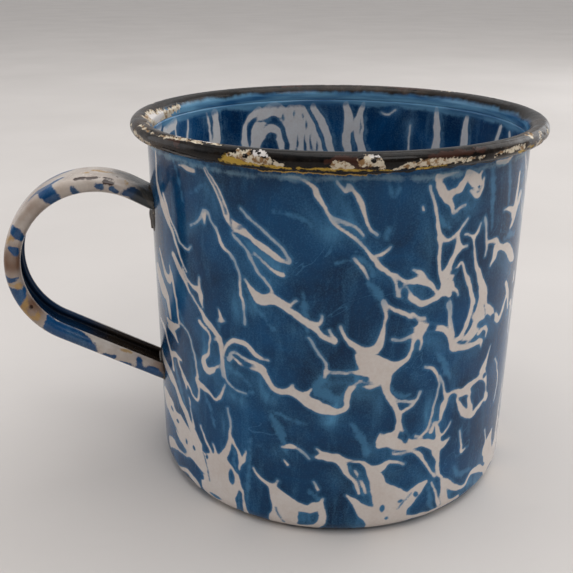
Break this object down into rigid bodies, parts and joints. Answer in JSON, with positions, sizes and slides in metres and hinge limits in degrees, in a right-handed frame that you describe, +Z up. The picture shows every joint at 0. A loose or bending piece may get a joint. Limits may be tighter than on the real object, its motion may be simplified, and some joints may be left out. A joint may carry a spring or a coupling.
{
  "type": "enamelled steel mug",
  "caption": "Straight-sided enamelled steel drinking mug with a rolled rim and a pressed channel-section loop handle.",
  "frame": {"origin": "on the floor under the middle of the base", "axes": "+Z up through the mouth; the handle points along -X, so +X runs from the handle to the far side of the rim"},
  "size_m": [0.1184, 0.09, 0.0814],
  "materials": {
    "steel": "drawn low-carbon steel sheet, dull grey",
    "strap_steel": "pressed low-carbon steel strip, dull grey",
    "weld": "dull grey spot weld",
    "outer_swirl_enamel": "glossy vitreous enamel, cobalt blue swirled with off-white",
    "inner_swirl_enamel": "glossy vitreous enamel, darker blue and white streaks",
    "rim_enamel": "black vitreous enamel, worn and chipped",
    "handle_enamel": "cream vitreous enamel with blue patches, dark inside the channel",
    "pooled_enamel": "pooled dark brown enamel"
  },
  "bodies": {
    "root": {"steel_cup": "steel", "handle_strap": "strap_steel", "upper_weld": "weld", "lower_weld": "weld", "outer_enamel": "outer_swirl_enamel", "inner_enamel": "inner_swirl_enamel", "rim_enamel": "rim_enamel", "handle_enamel": "handle_enamel", "upper_pool_enamel": "pooled_enamel", "lower_pool_enamel": "pooled_enamel"}
  },
  "joints": []
}
